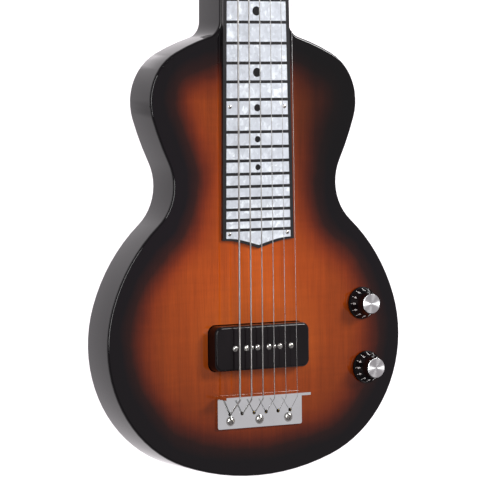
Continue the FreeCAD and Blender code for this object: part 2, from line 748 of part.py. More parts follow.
def make_pickup_cover():
    cover = new_body("pickup_cover")
    x, low = size("pickup_shift"), FACE - size("cover_sunk")
    shell = rounded_box(x, PICKUP_Y, size("cover_length"), size("cover_width"), size("cover_round"))
    block = pad(cover, sketch_on(cover, "cover_outline", shell, level=low),
                f"{cell('cover_rise')} + {cell('cover_sunk')}")
    draft = cover.newObject("PartDesign::Draft", "cover_draft")
    walls, floor = [], None
    for number, face in enumerate(block.Shape.Faces, start=1):
        normal = face.normalAt(0, 0)
        if abs(normal.z) < 0.5:
            walls.append(f"Face{number}")
        elif normal.z < 0:
            floor = f"Face{number}"
    draft.Base = (block, walls)
    draft.NeutralPlane = (block, [floor])
    draft.Angle = 2.5
    draft.Reversed = False
    doc.recompute()
    if draft.Shape.Volume > block.Shape.Volume:
        draft.Reversed = True
        doc.recompute()
    rim = [f"Edge{n}" for n, edge in enumerate(draft.Shape.Edges, start=1)
           if edge.BoundBox.ZMin > PICKUP_TOP - 0.01]
    fillet = cover.newObject("PartDesign::Fillet", "cover_round_top")
    fillet.Base = (draft, rim)
    fillet.Radius = 2.2
    doc.recompute()
    wall = size("cover_wall")
    hollow = rounded_box(x, PICKUP_Y, size("cover_length") - 2 * wall - 1.2,
                         size("cover_width") - 2 * wall - 1.2, size("cover_round") - wall)
    depth = f"{cell('cover_rise')} + {cell('cover_sunk')} - {cell('cover_wall')}"
    pocket(cover, sketch_on(cover, "cover_hollow", hollow, level=low), depth, reverse=True)
    drill(cover, "pole_holes", [(px, PICKUP_Y) for px in POLE_X], "2.5 mm", PICKUP_TOP, "4 mm")
    drill(cover, "cover_screw_holes", PICKUP_SCREWS, "1.0 mm", PICKUP_TOP, "4 mm")
    return cover


def plate(node, x, y, low, width, depth, corner, thick, holes):
    """Flat piece with round corners and some round holes, each (places, radius)."""
    body = new_body(node)
    pad(body, sketch_on(body, node + "_outline", rounded_box(x, y, width, depth, corner), level=low), thick)
    for number, (places, radius) in enumerate(holes):
        drill(body, f"{node}_holes_{number}", places, radius, low, upward=True)
    return body


def make_pickup_inside():
    """Base plate, bar magnets, bobbin and coil, stacked below the cover."""
    x = size("pickup_shift")
    poles = [(px, PICKUP_Y) for px in POLE_X]
    holes = [(poles, "1.5 mm"), (PICKUP_SCREWS, "1.0 mm")]
    plate("pickup_baseplate", x, PICKUP_Y, BASEPLATE_LOW, 78.0, 30.0, 3.0, f"{BASEPLATE_THICK} mm", holes)
    magnets = []
    for side in SIDES:
        bar = doc.addObject("Part::Box", f"bar_magnet_{side + 1}")
        bind(bar, Length="62 mm", Width="10 mm", Height=f"{MAGNET_THICK} mm")
        bar.Placement = Placement(Vector(x - 31, PICKUP_Y + side * 7.4 - 5, MAGNET_LOW), Rotation())
        magnets.append(bar)
    pair = doc.addObject("Part::Compound", "pickup_magnets")
    pair.Links = magnets
    keep(pair, "pickup_magnets")
    bobbin = new_body("pickup_bobbin")
    for name, low, width, depth, corner, thick in (
            ("lower_flange", BOBBIN_LOW, 72.0, 26.0, 12.9, FLANGE_THICK),
            ("core", BOBBIN_LOW + FLANGE_THICK, 60.0, 6.4, 3.1, CORE_THICK),
            ("upper_flange", BOBBIN_LOW + FLANGE_THICK + CORE_THICK, 72.0, 26.0, 12.9, FLANGE_THICK)):
        outline = rounded_box(x, PICKUP_Y, width, depth, corner)
        pad(bobbin, sketch_on(bobbin, name, outline, level=low), f"{thick} mm")
    drill(bobbin, "bobbin_poles", poles, "1.5 mm", BOBBIN_LOW - 0.2, upward=True)
    drill(bobbin, "bobbin_screws", PICKUP_SCREWS, "1.0 mm", BOBBIN_LOW - 0.2, upward=True)
    coil = new_body("pickup_coil")
    ring = rounded_box(x, PICKUP_Y, 70.0, 24.0, 11.9) + rounded_box(x, PICKUP_Y, 60.2, 6.6, 3.2)
    pad(coil, sketch_on(coil, "coil_section", ring, level=BOBBIN_LOW + FLANGE_THICK + 0.1), f"{COIL_THICK} mm")


def make_pickup_screws():
    pole = screw_shape(2.35, 1.3, 1.5, 22.0)
    drum = Part.makeCylinder(2.35, 1.4, Vector(0, 0, -1.4))
    pole = pole.fuse(drum).removeSplitter()
    shaped("pole_screws", Part.makeCompound([placed(pole, (px, PICKUP_Y, PICKUP_TOP)) for px in POLE_X]))
    small = screw_shape(1.6, 0.9, 1.0, 31.0)
    shaped("pickup_screws", Part.makeCompound([placed(small, (x, y, PICKUP_TOP)) for x, y in PICKUP_SCREWS]))


# ---------------------------------------------------------------- controls

def make_knob(name, x, y):
    """Bell knob with a wide numbered skirt, its metal cap and the shaft that it grips."""
    low = FACE + size("knob_gap")
    top = low + size("knob_height")
    wide, narrow = size("knob_radius"), size("knob_top_radius")
    outside = [(wide, low), (wide - 0.1, low + 1.0), (wide - 1.0, low + 2.0), (narrow + 0.8, low + 7.6),
               (narrow + 0.3, low + 9.0), (narrow, low + 10.4), (narrow - 0.1, top - 0.6), (narrow - 0.4, top)]
    cap_seat = [(size("cap_radius"), top), (size("cap_radius"), top - 0.4), (0, top - 0.4)]
    bore = [(0, top - 3.0), (size("shaft_radius"), top - 3.0), (size("shaft_radius"), low + 6.5)]
    underside = [(wide - 4.5, low + 5.0), (wide - 2.2, low)]
    profile = outside + cap_seat + bore + underside
    shaped(f"{name}_knob", placed(turned(profile), (x, y, 0)))
    cap = turned([(0, top - 0.4), (size("cap_radius"), top - 0.4), (size("cap_radius"), top + 0.25),
                  (size("cap_radius") - 0.3, top + 0.4), (0, top + 0.4)])
    shaped(f"{name}_knob_cap", placed(cap, (x, y, 0)))
    low_end = FACE - size("top_wood") - 6.0
    length = f"{top - 3.0 - low_end} mm"
    keep(cylinder(f"{name}_shaft", cell("shaft_radius"), length, (x, y, low_end)), f"{name}_shaft")


def make_pots():
    """Round pot cases under the top, each with a threaded bushing that comes out through it."""
    under = FACE - size("top_wood")
    solids = []
    for name, (x, y) in KNOBS.items():
        case = cylinder(f"{name}_case", cell("pot_radius"), cell("pot_height"),
                        (x, y, under - size("pot_height")))
        neck = cylinder(f"{name}_bushing", cell("bushing_radius"), f"{cell('top_wood')} + 3.6", (x, y, under))
        bore = cylinder(f"{name}_bore", f"{cell('shaft_radius')} + {RUNNING_GAP}",
                        f"{cell('top_wood')} + 20", (x, y, under - 6.5))
        lugs = doc.addObject("Part::Box", f"{name}_lugs")
        bind(lugs, Length="6 mm", Width="12 mm", Height="1 mm")
        lugs.Placement = Placement(Vector(x - size("pot_radius") - 5, y - 6, under - 2.6), Rotation())
        solids.append(cut(f"{name}_pot", fused(f"{name}_pot_blank", [case, neck, lugs]), bore))
    cases = doc.addObject("Part::Compound", "pot_cases")
    cases.Links = solids
    keep(cases, "pot_cases")
    nut = hex_nut(6.0, 2.4, size("bushing_radius"))
    shaped("pot_nuts", Part.makeCompound([placed(nut, (x, y, FACE)) for x, y in KNOBS.values()]))


def hex_nut(flat_radius, height, bore):
    corners = [Vector(flat_radius / math.cos(math.pi / 6) * math.cos(math.radians(a)),
                      flat_radius / math.cos(math.pi / 6) * math.sin(math.radians(a)), 0.6)
               for a in range(0, 420, 60)]
    blank = Part.Face(Part.makePolygon(corners)).extrude(Vector(0, 0, height - 0.6))
    washer = Part.makeCylinder(flat_radius + 1.4, 0.6)
    return blank.fuse(washer).cut(Part.makeCylinder(bore, height))


def make_jack():
    """Socket for a quarter-inch plug, entered from the treble side through the spot face."""
    bore = size("jack_bore")
    wall, mouth = CAVITY_WALL, JACK_FLOOR + 5.0
    shape = turned([(0, JACK_BACK), (8.0, JACK_BACK), (8.0, wall), (JACK_THREAD, wall), (JACK_THREAD, mouth),
                    (bore, mouth), (bore, JACK_BORE_END), (0, JACK_BORE_END)])
    shaped("output_jack", placed(shape, (0, JACK_Y, size("jack_z")), Vector(1, 0, 0)))
    nut = hex_nut(6.6, 2.8, JACK_THREAD)
    shaped("jack_nut", placed(nut, (JACK_FLOOR, JACK_Y, size("jack_z")), Vector(1, 0, 0)))


def make_control_lid():
    x, y, width, length = CAVITY
    margin = LID_MARGIN - LID_CLEAR
    holes = [(LID_SCREWS, f"{LID_SCREW_SHANK} mm")]
    plate("control_cover", x, y, 0.0, width + 2 * margin, length + 2 * margin, CAVITY_ROUND + margin,
          f"{cell('lid_thick')}", holes)
    depth = LID_SCREW_HEAD - LID_SCREW_SHANK
    sink = turned([(0, 0), (LID_SCREW_HEAD, 0), (LID_SCREW_SHANK, depth), (LID_SCREW_SHANK, 10.0), (0, 10.0)])
    lid = parts["control_cover"]
    cone = sketch_on(lid, "lid_sinks", [circle(sx, sy, LID_SCREW_HEAD) for sx, sy in LID_SCREWS])
    taper = pocket(lid, cone, f"{depth} mm", reverse=True)
    taper.TaperAngle = -45.0
    doc.recompute()
    shaped("cover_screws", Part.makeCompound([placed(sink, (sx, sy, 0)) for sx, sy in LID_SCREWS]))


def make_wiring():
    """Tone capacitor and the leads between pickup, pots and jack."""
    x, y = KNOBS["tone"]
    keep(cylinder("capacitor", "2.8 mm", "14 mm", (73.5, y - 8.0, 22.0), Vector(0, 1, 0)), "capacitor")
    lead_z = 20.0
    volume_x, volume_y = KNOBS["volume"]
    pot_lug = 14.5
    lug_z = FACE - size("top_wood") - 2.6
    leads = [
        bent_tube([(30.0, PICKUP_Y, lead_z), (70.0, PICKUP_Y, lead_z), (75.5, PICKUP_Y + 10, lead_z + 1),
                   (volume_x - pot_lug, volume_y - 4, lug_z - 1.2)], (7.0, 7.0), 1.2),
        bent_tube([(volume_x - pot_lug, volume_y + 3, lug_z - 0.8), (73.5, volume_y - 14, 14.0),
                   (75.0, y + 22, 14.0), (x - pot_lug, y + 3, lug_z - 0.8)], (5.0, 5.0), 0.8),
        bent_tube([(x - pot_lug, y - 3, lug_z - 0.8), (81.5, y + 8, 12.0), (85.5, JACK_Y - 5, 12.0),
                   (JACK_BACK - 1.0, JACK_Y, size("jack_z"))], (4.0, 4.0), 0.8),
    ]
    shaped("hookup_wires", Part.makeCompound(leads))


# ---------------------------------------------------------------- tuners

def make_tuner_plates():
    """Two strips on the back of the head, each with bearing lugs for three worms."""
    solids = []
    thick = size("plate_thick")
    for side in SIDES:
        x = side * size("post_inset")
        corner = Vector(x - STRIP_WIDTH / 2, STRIP_MIDDLE - STRIP_LENGTH / 2, HEAD_BACK - thick)
        strip = Part.makeBox(STRIP_WIDTH, STRIP_LENGTH, thick, corner)
        for post_x, post_y in [place for place in POSTS if place[0] == x]:
            strip = strip.fuse(bearing_lugs(post_x, post_y))
            hole = Part.makeCylinder(size("post_radius") + RUNNING_GAP, 4, Vector(post_x, post_y, HEAD_BACK - 3))
            strip = strip.cut(hole)
        for sx, sy in [place for place in TUNER_SCREWS if place[0] == x]:
            strip = strip.cut(Part.makeCylinder(0.9, 4, Vector(sx, sy, HEAD_BACK - 3)))
        solids.append(strip.removeSplitter())
    shaped("tuner_plates", Part.makeCompound(solids))


def bearing_lugs(x, y):
    """Two upright ears that hold the ends of one worm."""
    thick = 1.4
    reach = size("worm_length") / 2 + CLEAR_GAP
    worm_y = y + size("worm_offset")
    lower = WORM_Z - 3.2
    ears = []
    for side in SIDES:
        left = x + side * (reach + thick / 2) - thick / 2
        ear = Part.makeBox(thick, 6.4, HEAD_BACK - lower, Vector(left, worm_y - 3.2, lower))
        bore = Part.makeCylinder(size("key_radius") + RUNNING_GAP, 4, Vector(left - 1, worm_y, WORM_Z),
                                 Vector(1, 0, 0))
        ears.append(ear.cut(bore))
    return ears[0].fuse(ears[1])


def worm_shape():
    """Right-handed single-start worm along +X, centred on the origin."""
    pitch = 2 * math.pi * size("cog_pitch_radius") / size("cog_teeth")
    length, root, crest = size("worm_length"), size("worm_root"), size("worm_crest")
    run = length - 1.4
    helix = Part.makeHelix(pitch, run, root)
    base, tip = 0.62, 0.34
    section = Part.makePolygon([Vector(root - 0.25, 0, -base), Vector(crest, 0, -tip),
                                Vector(crest, 0, tip), Vector(root - 0.25, 0, base),
                                Vector(root - 0.25, 0, -base)])
    thread = Part.Wire(helix).makePipeShell([section], True, True)
    # Turned so that the thread passes the middle of the cog's tooth gap on its -Y side.
    thread.rotate(Vector(0, 0, 0), Vector(0, 0, 1), 270 - 360 * run / 2 / pitch)
    thread.translate(Vector(0, 0, -run / 2))
    core = Part.makeCylinder(root, length, Vector(0, 0, -length / 2))
    worm = core.fuse(thread)
    worm.rotate(Vector(0, 0, 0), Vector(0, 1, 0), 90)
    return worm


def cog_shape():
    """Cog with a tooth gap that faces +Y, where the worm's thread passes."""
    teeth = int(size("cog_teeth"))
    tip, root = size("cog_pitch_radius") + 0.55, size("cog_pitch_radius") - 0.85
    step = 2 * math.pi / teeth
    points = []
    for tooth in range(teeth):
        middle = math.pi / 2 + (tooth + 0.5) * step
        for radius, share in ((root, -0.30), (tip, -0.11), (tip, 0.11), (root, 0.30)):
            angle = middle + share * step
            points.append(Vector(radius * math.cos(angle), radius * math.sin(angle), 0))
    blank = Part.Face(Part.makePolygon(points + points[:1])).extrude(Vector(0, 0, size("cog_thick")))
    return blank.cut(Part.makeCylinder(size("post_radius"), size("cog_thick")))


def make_tuner(number, x, y):
    """One tuner: key with its worm, button, string post with its turns of string, and cog."""
    side = 1 if x > 0 else -1
    worm_y = y + size("worm_offset")
    cog_low = WORM_Z - size("cog_thick") / 2
    length = size("worm_length")
    outer = KEY_EDGE - size("post_inset") + 9.0
    inner = length / 2 + CLEAR_GAP + 1.4 + 0.8
    start = -inner if side > 0 else -outer
    key = worm_shape().fuse(Part.makeCylinder(size("key_radius"), inner + outer, Vector(start, 0, 0),
                                              Vector(1, 0, 0)))
    collar_x = side * (KEY_EDGE - size("post_inset") - 1.0)
    collar = Part.makeCylinder(2.6, 1.2, Vector(collar_x - 0.6, 0, 0), Vector(1, 0, 0))
    shaped(f"key_{number}", placed(key.fuse(collar).removeSplitter(), (x, worm_y, WORM_Z)))
    make_button(number, side, worm_y)
    post = turned([(0, cog_low - 1.2), (2.4, cog_low - 1.2), (2.4, cog_low), (size("post_radius"), cog_low),
                   (size("post_radius"), HEAD_TOP + size("post_rise") - 0.8),
                   (size("post_radius") - 0.8, HEAD_TOP + size("post_rise")),
                   (0, HEAD_TOP + size("post_rise"))])
    radius = STRING_RADII[STRING_POSTS.index(number - 1)]
    turns = [Part.makeTorus(size("post_radius") + radius, radius,
                            Vector(0, 0, WRAP_Z - CLEAR_GAP - radius * (2 * turn + 1)))
             for turn in range(3)]
    shaped(f"post_{number}", placed(Part.makeCompound([post] + turns), (x, y, 0)))
    shaped(f"cog_{number}", placed(cog_shape(), (x, y, cog_low)))


def make_button(number, side, worm_y):
    """Oval button on the outer end of a key."""
    blank = doc.addObject("Part::Ellipsoid", f"button_blank_{number}")
    bind(blank, Radius1=f"{cell('button_thick')} / 2", Radius2=f"{cell('button_length')} / 2",
         Radius3=f"{cell('button_width')} / 2")
    middle = side * (KEY_EDGE + size("button_length") / 2)
    # The seam of the blank is turned outwards, away from the bore.
    blank.Placement = Placement(Vector(middle, worm_y, WORM_Z), Rotation(Vector(0, 0, 1), 90 - 90 * side))
    bore = cylinder(f"button_bore_{number}", cell("key_radius"), "9 mm", (side * KEY_EDGE, worm_y, WORM_Z),
                    Vector(side, 0, 0))
    keep(cut(f"button_{number}", blank, bore), f"button_{number}")


def make_tuner_hardware():
    bushing = turned([(size("post_radius") + RUNNING_GAP, -6.0), (size("post_radius") + 1.4, -6.0),
                      (size("post_radius") + 1.4, 0), (5.6, 0), (5.6, 0.8), (4.6, 1.4),
                      (size("post_radius") + RUNNING_GAP, 1.4)])
    shaped("post_bushings", Part.makeCompound([placed(bushing, (x, y, HEAD_TOP)) for x, y in POSTS]))
    screw = screw_shape(1.7, 0.9, 0.9, 7.5)
    low = HEAD_BACK - size("plate_thick")
    down = Vector(0, 0, -1)
    shaped("tuner_screws", Part.makeCompound([placed(screw, (x, y, low), down) for x, y in TUNER_SCREWS]))


# ---------------------------------------------------------------- the guitar

make_body()
make_fingerboard()
make_inlays()
make_board_screws()
make_nut()
make_bridge()
make_bridge_screws()
make_strings()
make_pickup_cover()
make_pickup_inside()
make_pickup_screws()
for name, (knob_x, knob_y) in KNOBS.items():
    make_knob(name, knob_x, knob_y)
make_pots()
make_jack()
make_control_lid()
make_wiring()
make_tuner_plates()
make_tuner_hardware()
for count, (tuner_x, tuner_y) in enumerate(POSTS, start=1):
    make_tuner(count, tuner_x, tuner_y)
doc.recompute()

for obj in doc.Objects:
    if {"Invalid", "Error"} & set(obj.State):
        raise RuntimeError(f"{obj.Label} failed: {obj.State}")

os.makedirs("parts", exist_ok=True)
for node, obj in parts.items():
    if obj.Shape.isNull() or not obj.Shape.isValid():
        raise RuntimeError(f"{node} has a bad shape")
for node, obj in parts.items():
    obj.Shape.exportStep(f"parts/{node}.step")
print(len(parts), "sub-parts")
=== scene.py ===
"""Six-string lap steel guitar lying on a pale studio floor: finishes, fine pieces, lights and camera."""
import json
import math

import bmesh
import bpy
import numpy as np
from mathutils import Matrix, Vector, kdtree


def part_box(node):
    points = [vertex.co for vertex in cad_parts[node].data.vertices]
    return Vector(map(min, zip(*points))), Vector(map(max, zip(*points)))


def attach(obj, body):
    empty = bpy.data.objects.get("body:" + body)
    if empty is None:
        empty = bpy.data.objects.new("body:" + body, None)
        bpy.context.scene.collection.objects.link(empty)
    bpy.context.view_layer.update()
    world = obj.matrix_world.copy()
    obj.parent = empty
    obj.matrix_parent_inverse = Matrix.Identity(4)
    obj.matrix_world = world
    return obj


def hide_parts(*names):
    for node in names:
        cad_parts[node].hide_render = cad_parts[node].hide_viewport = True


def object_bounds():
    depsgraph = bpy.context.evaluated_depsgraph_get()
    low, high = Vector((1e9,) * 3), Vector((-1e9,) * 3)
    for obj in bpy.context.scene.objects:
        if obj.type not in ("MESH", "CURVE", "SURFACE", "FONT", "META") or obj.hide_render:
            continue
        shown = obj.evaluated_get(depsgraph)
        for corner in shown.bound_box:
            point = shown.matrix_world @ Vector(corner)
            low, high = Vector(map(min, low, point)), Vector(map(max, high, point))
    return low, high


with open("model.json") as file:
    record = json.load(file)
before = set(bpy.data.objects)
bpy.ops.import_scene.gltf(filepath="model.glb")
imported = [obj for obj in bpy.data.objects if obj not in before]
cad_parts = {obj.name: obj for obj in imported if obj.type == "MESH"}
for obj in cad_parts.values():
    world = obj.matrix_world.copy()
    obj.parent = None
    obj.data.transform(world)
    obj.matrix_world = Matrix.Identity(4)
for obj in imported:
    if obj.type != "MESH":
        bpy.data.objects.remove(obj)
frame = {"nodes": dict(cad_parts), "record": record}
CAD_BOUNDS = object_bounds()
NODES = frame["nodes"]
BODIES = frame["record"]["behaviour"]["bodies"]
NODE_BODY = {node: body for body, nodes in BODIES.items() for node in nodes}
MM = 0.001


# ---------------------------------------------------------------- shader helpers

def fill(tree, socket, value):
    """Links a socket, or sets its constant."""
    if isinstance(value, bpy.types.NodeSocket):
        tree.links.new(value, socket)
    else:
        socket.default_value = value


def add(tree, kind, settings=None, **sockets):
    """Adds a node, sets its options and fills its sockets."""
    node = tree.nodes.new(kind)
    for option, value in (settings or {}).items():
        setattr(node, option, value)
    for socket, value in sockets.items():
        fill(tree, node.inputs[socket.replace("_", " ")], value)
    return node


def maths(tree, operation, *values):
    """Result of one arithmetic step."""
    node = tree.nodes.new("ShaderNodeMath")
    node.operation = operation
    for socket, value in zip(node.inputs, values):
        fill(tree, socket, value)
    return node.outputs[0]


def mixed(tree, factor, first, second, blend="MIX"):
    """Blends two colours."""
    node = tree.nodes.new("ShaderNodeMix")
    node.data_type = "RGBA"
    node.blend_type = blend
    for index, value in ((0, factor), (6, first), (7, second)):
        fill(tree, node.inputs[index], value if not isinstance(value, tuple) else (*value, 1.0))
    return node.outputs[2]


def ramp(tree, factor, *stops):
    """Colour ramp from (position, colour or grey) stops."""
    node = add(tree, "ShaderNodeValToRGB", Fac=factor)
    elements = node.color_ramp.elements
    while len(elements) < len(stops):
        elements.new(0.5)
    for element, (position, _) in zip(elements, stops):
        element.position = position
    for element, (_, colour) in zip(elements, stops):
        shade = colour if isinstance(colour, tuple) else (colour, colour, colour)
        element.color = (*shade, 1.0)
    return node.outputs["Color"]


def place_of(tree, stretch=(1.0, 1.0, 1.0), shift=(0.0, 0.0, 0.0)):
    """Row-frame place on the piece, in metres, shifted and stretched."""
    place = add(tree, "ShaderNodeTexCoord").outputs["Object"]
    moved = add(tree, "ShaderNodeVectorMath", {"operation": "SUBTRACT"})
    tree.links.new(place, moved.inputs[0])
    moved.inputs[1].default_value = shift
    return add(tree, "ShaderNodeMapping", Vector=moved.outputs[0], Scale=stretch).outputs["Vector"]


def noise(tree, scale, stretch=(1.0, 1.0, 1.0), detail=4.0, roughness=0.5, distortion=0.0):
    """Cloudy noise from 0 to 1, finer along an axis with more stretch."""
    vector = place_of(tree, stretch)
    return add(tree, "ShaderNodeTexNoise", Vector=vector, Scale=scale, Detail=detail,
               Roughness=roughness, Distortion=distortion).outputs["Fac"]


def bump(tree, shader, height, depth, socket="Normal"):
    """Relief of that depth in metres."""
    node = add(tree, "ShaderNodeBump", Height=height, Strength=1.0, Distance=depth)
    tree.links.new(node.outputs["Normal"], shader.inputs[socket])
    return node


def new_material(name, **sockets):
    """Material with its shader's constants set: the material, its tree and the shader."""
    made = bpy.data.materials.new(name)
    made.use_nodes = True
    tree = made.node_tree
    shader = tree.nodes["Principled BSDF"]
    for socket, value in sockets.items():
        value = (*value, 1.0) if isinstance(value, tuple) and len(value) == 3 else value
        fill(tree, shader.inputs[socket.replace("_", " ")], value)
    return made, tree, shader


def mottled(tree, shader, colour, spread, scale):
    """Colour that is darker in patches, by that share."""
    dark = tuple(value * (1.0 - spread) for value in colour)
    mottle = ramp(tree, noise(tree, scale, detail=6.0), (0.35, dark), (0.65, colour))
    tree.links.new(mottle, shader.inputs["Base Color"])


def varied(tree, shader, colour, spread, scale, roughness, rough_spread):
    """Mottles the colour, and the roughness more finely, as handling leaves them."""
    mottled(tree, shader, colour, spread, scale)
    wear = noise(tree, scale * 5.0, detail=8.0, roughness=0.7)
    spread_wear = maths(tree, "MULTIPLY_ADD", wear, rough_spread, roughness - rough_spread / 2.0)
    tree.links.new(spread_wear, shader.inputs["Roughness"])


def plain_finish(name, colour, metallic, roughness, relief=2e-6, scale=90.0, spread=0.15, coat=0.0):
    """Cast, moulded or plated finish with small-scale unevenness."""
    made, tree, shader = new_material(name, Metallic=metallic, Coat_Weight=coat, Coat_Roughness=0.06)
    varied(tree, shader, colour, spread, scale, roughness, 0.12)
    bump(tree, shader, noise(tree, scale * 12.0, detail=5.0), relief)
    return made


# ---------------------------------------------------------------- finishes

def sunburst_finish():
    """Stained and lacquered mahogany: near black at the rim, amber in the middle of the lower bout."""
    made, tree, shader = new_material("sunburst_lacquer", Roughness=0.5, Specular_IOR_Level=0.0,
                                      Coat_Weight=1.0, Coat_Roughness=0.03, Coat_IOR=1.4)
    edge = add(tree, "ShaderNodeAttribute", {"attribute_name": "edge_mm"}).outputs["Fac"]
    cloud = noise(tree, 22.0, detail=3.0)
    edge = maths(tree, "ADD", edge, maths(tree, "MULTIPLY_ADD", cloud, 12.0, -6.6))
    edge = maths(tree, "DIVIDE", edge, 100.0)
    stain = ramp(tree, edge, (0.10, (0.003, 0.001, 0.003)), (0.19, (0.030, 0.005, 0.003)),
                 (0.27, (0.145, 0.017, 0.003)), (0.35, (0.30, 0.040, 0.004)), (0.45, (0.40, 0.062, 0.005)),
                 (0.65, (0.475, 0.075, 0.006)), (0.95, (0.64, 0.118, 0.011)))
    glow = glow_spread(tree)
    stain = mixed(tree, 1.0, stain, glow, "MULTIPLY")
    stain = mixed(tree, 1.0, stain, wood_grain(tree), "MULTIPLY")
    black = (0.006, 0.005, 0.006)
    normal = add(tree, "ShaderNodeNewGeometry").outputs["Normal"]
    upright = maths(tree, "ABSOLUTE", add(tree, "ShaderNodeSeparateXYZ", Vector=normal).outputs["Z"])
    flat = ramp(tree, upright, (0.90, 0.0), (0.99, 1.0))
    colour = mixed(tree, flat, black, stain)
    tree.links.new(colour, shader.inputs["Base Color"])
    bump(tree, shader, noise(tree, 1.0, (900.0, 30.0, 300.0), detail=3.0), 6e-6)
    bump(tree, shader, noise(tree, 90.0, detail=2.0), 5e-6, "Coat Normal")
    return made


def glow_spread(tree):
    """Brightness factor on the stain: lower away from a point in the lower bout, and lower on the treble
    side from the lower bout up towards the neck.
    """
    away = add(tree, "ShaderNodeVectorMath", {"operation": "LENGTH"})
    tree.links.new(place_of(tree, (0.55, 1.0, 0.0), (-0.03, -0.205, 0.0)), away.inputs[0])
    axes = add(tree, "ShaderNodeSeparateXYZ", Vector=place_of(tree))
    treble = maths(tree, "DIVIDE", axes.outputs["X"], 0.055)
    high = maths(tree, "DIVIDE", maths(tree, "ADD", axes.outputs["Y"], 0.235), 0.10)
    for node in (treble.node, high.node):
        node.use_clamp = True
    dimmed = maths(tree, "MULTIPLY_ADD", maths(tree, "MULTIPLY", treble, high), -0.84, 1.0)
    spread = ramp(tree, away.outputs["Value"], (0.03, 1.0), (0.05, 0.88), (0.08, 0.69),
                  (0.13, 0.57), (0.18, 0.50), (0.34, 0.38))
    return mixed(tree, 1.0, spread, dimmed, "MULTIPLY")


def wood_grain(tree):
    """Fine pores along the length, broad bands between them and faint ribbon figure across."""
    pore_noise = noise(tree, 1.0, (1500.0, 40.0, 500.0), detail=5.0, roughness=0.65)
    band_noise = noise(tree, 1.0, (190.0, 5.0, 90.0), detail=4.0)
    ribbon_noise = noise(tree, 1.0, (22.0, 210.0, 60.0), detail=3.0, distortion=0.6)
    pores = ramp(tree, pore_noise, (0.36, 0.84), (0.56, 1.0))
    bands = ramp(tree, band_noise, (0.3, 0.88), (0.7, 1.05))
    ribbon = ramp(tree, ribbon_noise, (0.3, 0.93), (0.7, 1.03))
    return mixed(tree, 1.0, mixed(tree, 1.0, pores, bands, "MULTIPLY"), ribbon, "MULTIPLY")


def pearloid_finish(name, tint):
    """Cloudy celluloid pearl: bright flakes of two sizes in a paler grey."""
    made, tree, shader = new_material(name, Roughness=0.2, Coat_Weight=0.6, Coat_Roughness=0.05)
    place = place_of(tree, (1.0, 0.8, 1.0))
    warp = add(tree, "ShaderNodeTexNoise", Vector=place, Scale=150.0, Detail=3.0).outputs["Color"]
    bent = add(tree, "ShaderNodeVectorMath", {"operation": "MULTIPLY_ADD"})
    tree.links.new(warp, bent.inputs[0])
    bent.inputs[1].default_value = (0.005, 0.005, 0.005)
    tree.links.new(place, bent.inputs[2])
    shade = maths(tree, "MULTIPLY_ADD", noise(tree, 70.0, detail=4.0), 0.7, -0.23)
    for scale, weight in ((200.0, 0.30), (430.0, 0.45)):
        flakes = add(tree, "ShaderNodeTexVoronoi", {"feature": "SMOOTH_F1"}, Vector=bent.outputs[0],
                     Scale=scale, Smoothness=0.1)
        shade = maths(tree, "MULTIPLY_ADD", flakes.outputs["Color"], weight, shade)
    dark = tuple(value * 0.82 for value in tint)
    bright = tuple(min(1.0, value * 1.38) for value in tint)
    pearl = ramp(tree, shade, (0.20, dark), (0.55, tint), (0.78, bright))
    tree.links.new(pearl, shader.inputs["Base Color"])
    bump(tree, shader, noise(tree, 900.0, detail=3.0), 1.5e-6)
    return made


def string_finish(name, colour, winding=None):
    """Polished steel, or nickel wire wound round a core with that pitch in metres."""
    made, tree, shader = new_material(name, Metallic=1.0)
    varied(tree, shader, colour, 0.2, 220.0, 0.36 if winding else 0.28, 0.1)
    if winding:
        turns = add(tree, "ShaderNodeTexWave", {"bands_direction": "Y"}, Vector=place_of(tree),
                    Scale=2.0 * math.pi / (20.0 * winding), Distortion=0.0)
        bump(tree, shader, turns.outputs["Fac"], winding * 0.05)
    else:
        bump(tree, shader, noise(tree, 1.0, (3000.0, 60.0, 3000.0), detail=3.0), 1e-6)
    return made


def brushed_finish(name, colour, roughness, along, relief=1.5e-6):
    """Plated sheet metal polished in one direction, with hairline scratches along it."""
    made, tree, shader = new_material(name, Metallic=1.0)
    stretch = tuple(30.0 if axis == along else 2600.0 for axis in "XYZ")
    lines = noise(tree, 1.0, stretch, detail=4.0, roughness=0.6)
    smudge = noise(tree, 55.0, detail=4.0)
    mottled(tree, shader, colour, 0.06, 60.0)
    rough = maths(tree, "MULTIPLY_ADD", smudge, 0.06, roughness - 0.03)
    tree.links.new(rough, shader.inputs["Roughness"])
    bump(tree, shader, lines, relief)
    return made


def spun_finish(name, colour, centre, pitch=0.00045, depth=8e-7):
    """Metal disc turned on a lathe: fine rings round its centre, which spread the light into a cone."""
    made, tree, shader = new_material(name, Metallic=1.0, Roughness=0.3, Anisotropic=0.92)
    varied(tree, shader, colour, 0.05, 150.0, 0.3, 0.05)
    away = add(tree, "ShaderNodeVectorMath", {"operation": "LENGTH"})
    tree.links.new(place_of(tree, (1.0, 1.0, 0.0), (centre[0], centre[1], 0.0)), away.inputs[0])
    rings = maths(tree, "SINE", maths(tree, "MULTIPLY", away.outputs["Value"], 2.0 * math.pi / pitch))
    bump(tree, shader, rings, depth)
    tangent = add(tree, "ShaderNodeTangent", {"direction_type": "RADIAL", "axis": "Z"})
    tree.links.new(tangent.outputs["Tangent"], shader.inputs["Tangent"])
    return made


def gloss_plastic(name, colour, roughness=0.16, scratches=2e-6, coat=0.0, shine=0.38):
    """Moulded glossy plastic with faint rubbing marks."""
    made, tree, shader = new_material(name, Coat_Weight=coat, Coat_Roughness=0.05, Specular_IOR_Level=shine)
    varied(tree, shader, colour, 0.35, 60.0, roughness, 0.08)
    marks = noise(tree, 1.0, (2200.0, 130.0, 700.0), detail=4.0)
    bump(tree, shader, marks, scratches)
    bump(tree, shader, noise(tree, 240.0, detail=2.0), 3e-6, "Coat Normal")
    return made


